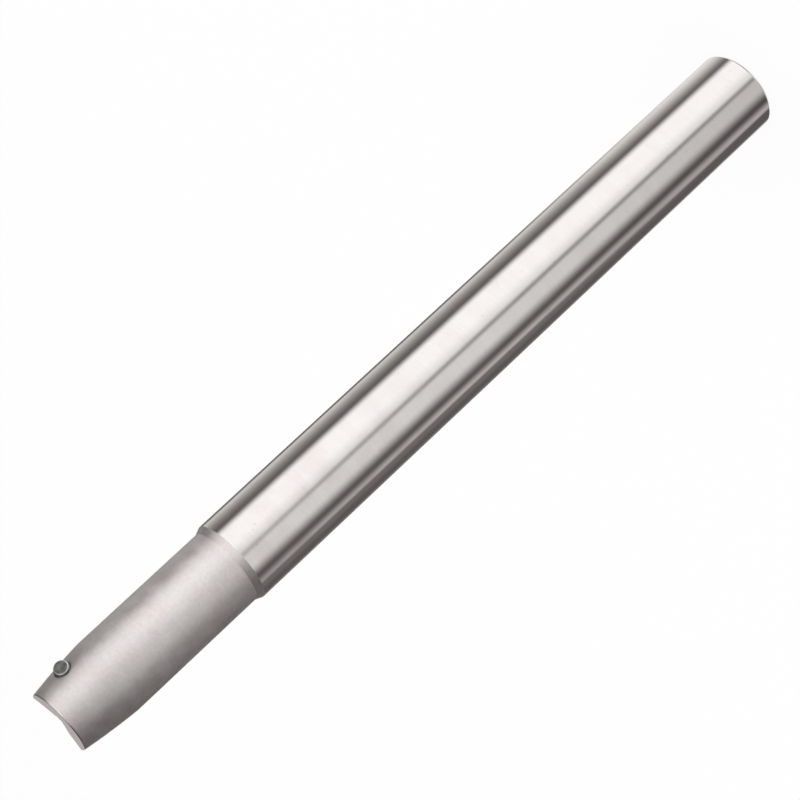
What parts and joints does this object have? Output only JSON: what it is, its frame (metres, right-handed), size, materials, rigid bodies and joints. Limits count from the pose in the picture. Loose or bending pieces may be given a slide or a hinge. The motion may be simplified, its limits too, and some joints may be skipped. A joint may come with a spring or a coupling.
{
  "type": "indexable end mill",
  "caption": "Long straight-shank end mill body with a slimmer neck, a tapered nose, an open seat for one clamped insert, a chip gullet and a countersunk clamp screw.",
  "frame": {"origin": "centre of the shank's flat end face, on the tool's axis", "axes": "+Z along the tool's axis from the shank to the tip, +X at the cutting corner of a seated insert, +Y the side that its rake face would look at"},
  "size_m": [0.012, 0.012, 0.13],
  "materials": {
    "tool_steel": "ground bright on the shank, satin blasted on the shoulder, neck, nose, seat and gullet",
    "screw_steel": "black oxide, bright where the tail's chamfer was turned"
  },
  "bodies": {
    "root": {"tool_body": "tool_steel", "clamp_screw": "screw_steel"}
  },
  "joints": []
}
